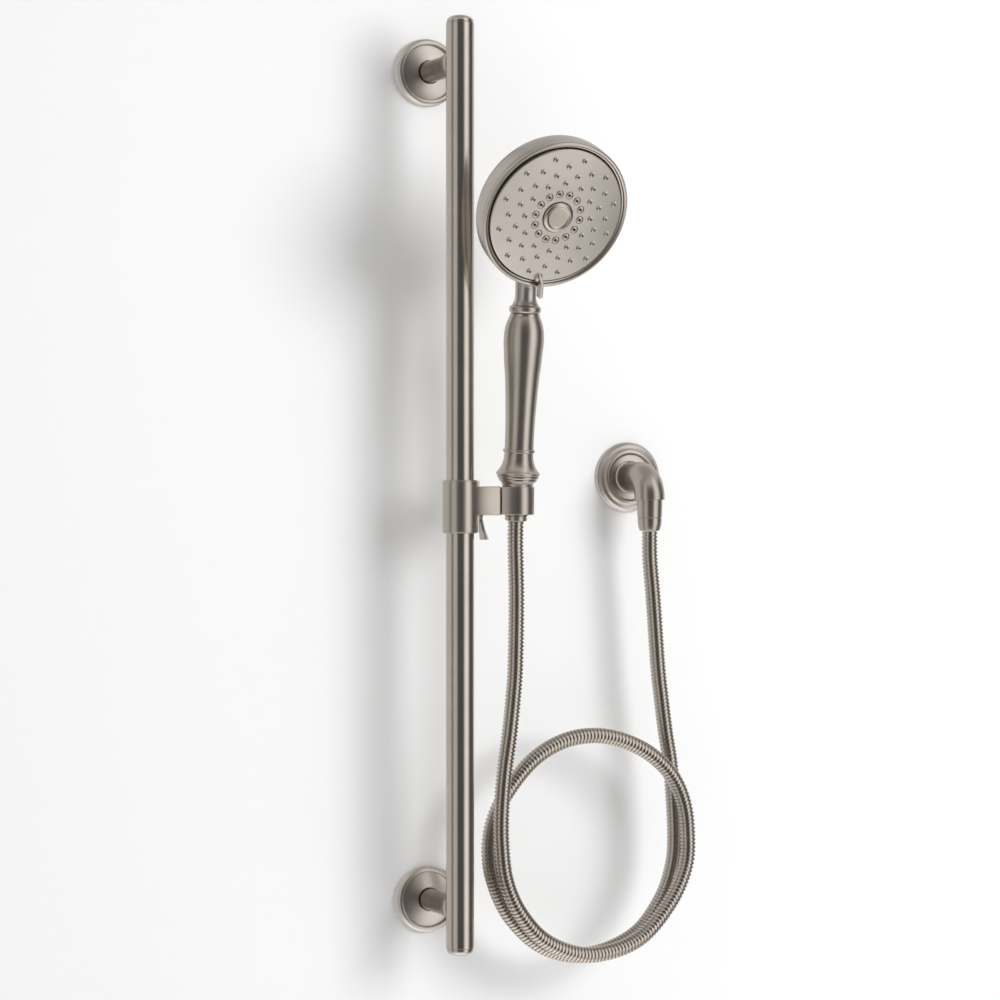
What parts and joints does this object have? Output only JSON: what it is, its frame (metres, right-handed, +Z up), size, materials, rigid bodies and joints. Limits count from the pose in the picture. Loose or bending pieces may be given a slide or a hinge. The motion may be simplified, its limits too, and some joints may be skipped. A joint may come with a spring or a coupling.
{
  "type": "handheld shower head with slide bar",
  "caption": "Wall-mounted slide bar kit with sliding holder, lift-out handshower with round turning spray face, ribbed metal hose and supply elbow, in brushed nickel.",
  "frame": {"origin": "centre of the lower wall post's wall face, in the plane of the wall", "axes": "+Y into the wall, +Z up along the slide bar, +X to the right along the wall as seen from the room"},
  "size_m": [0.2728, 0.2193, 0.864],
  "materials": {
    "bar_nickel": "brushed nickel over metal, warm grey",
    "cover_nickel": "spun brushed nickel",
    "plated_nickel": "brushed nickel plating over moulded plastic",
    "face_nickel": "satin nickel plating over moulded plastic",
    "hose_metal": "nickel-plated wound metal hose",
    "zinc_steel": "plain zinc-plated steel",
    "brass": "turned brass",
    "seal_rubber": "black rubber",
    "nozzle_rubber": "grey silicone rubber",
    "dark_plastic": "dark moulded plastic",
    "pale_plastic": "pale moulded plastic"
  },
  "bodies": {
    "wall_bar": {"bar_cap_lower": "bar_nickel", "bar_cap_upper": "bar_nickel", "bar_insert_lower": "pale_plastic", "bar_insert_upper": "pale_plastic", "bar_tube": "bar_nickel", "elbow_body": "bar_nickel", "elbow_check_valve": "dark_plastic", "elbow_escutcheon": "cover_nickel", "elbow_hose_nut": "bar_nickel", "elbow_washer": "seal_rubber", "flange_cover_lower": "cover_nickel", "flange_cover_upper": "cover_nickel", "grub_screw_lower": "zinc_steel", "grub_screw_upper": "zinc_steel", "hose": "hose_metal", "hose_tail_supply": "brass", "post_stem_lower": "bar_nickel", "post_stem_upper": "bar_nickel", "wall_plate_lower": "zinc_steel", "wall_plate_upper": "zinc_steel", "wall_screw_lower_1": "zinc_steel", "wall_screw_lower_2": "zinc_steel", "wall_screw_upper_1": "zinc_steel", "wall_screw_upper_2": "zinc_steel"},
    "slider_sleeve": {"slider_bushing": "pale_plastic"},
    "slider": {"slider_collar": "bar_nickel", "brake_shoe": "seal_rubber", "lever_pin": "zinc_steel", "pivot_washer": "seal_rubber", "lever_spring": "zinc_steel"},
    "lever": {"lever": "bar_nickel"},
    "cradle": {"cradle": "bar_nickel", "cradle_liner": "dark_plastic", "pivot_stud": "zinc_steel"},
    "hose_swivel": {"hose_nut_handset": "bar_nickel", "hose_tail_handset": "brass"},
    "handset": {"handle_shell": "plated_nickel", "neck_collar": "plated_nickel", "inner_waterway": "pale_plastic", "waterway_socket": "dark_plastic", "flow_restrictor": "dark_plastic", "screen_washer": "seal_rubber", "swivel_seal": "seal_rubber", "head_shell": "plated_nickel", "rim_ring": "plated_nickel", "trim_ring": "plated_nickel", "port_plate": "dark_plastic", "port_seal": "seal_rubber", "chamber_liner": "pale_plastic", "detent_pin": "zinc_steel"},
    "spray_face": {"face_plate": "face_nickel", "nozzle_mat": "nozzle_rubber", "centre_nozzle_ring": "dark_plastic", "hub_cap": "plated_nickel", "diverter_disc": "pale_plastic", "face_carrier": "dark_plastic", "face_screw": "zinc_steel"}
  },
  "joints": [
    {"name": "slider_travel", "type": "slide", "parent": "wall_bar", "child": "slider_sleeve", "axis": [0, 0, 1], "range_m": [-0.3, 0.34], "deforming": ["hose"]},
    {"name": "slider_swivel", "type": "hinge", "parent": "slider_sleeve", "child": "slider", "pos_m": [0, -0.078, 0.367], "axis": [0, 0, 1], "range_deg": [-90, 25], "deforming": ["hose"]},
    {"name": "lever_squeeze", "type": "hinge", "parent": "slider", "child": "lever", "pos_m": [0.0225, -0.078, 0.3605], "axis": [0, 1, 0], "range_deg": [0, 9], "stiffness_Nm_per_rad": 0.6, "springref_deg": -14.32, "deforming": ["lever_spring"]},
    {"name": "cradle_tilt", "type": "hinge", "parent": "slider", "child": "cradle", "pos_m": [0.0342, -0.078, 0.367], "axis": [1, 0, 0], "range_deg": [-4, 40], "deforming": ["hose"]},
    {"name": "handset_lift", "type": "slide", "parent": "cradle", "child": "hose_swivel", "axis": [0, -0.1045, 0.9945], "range_m": [0, 0.1], "deforming": ["hose"]},
    {"name": "handset_turn", "type": "hinge", "parent": "hose_swivel", "child": "handset", "pos_m": [0.0562, -0.078, 0.367], "axis": [0, -0.1045, 0.9945], "range_deg": [-10, 20]},
    {"name": "spray_select", "type": "hinge", "parent": "handset", "child": "spray_face", "pos_m": [0.0564, -0.164, 0.617], "axis": [0.0306, -0.8758, -0.4818], "range_deg": [-30, 30]}
  ]
}
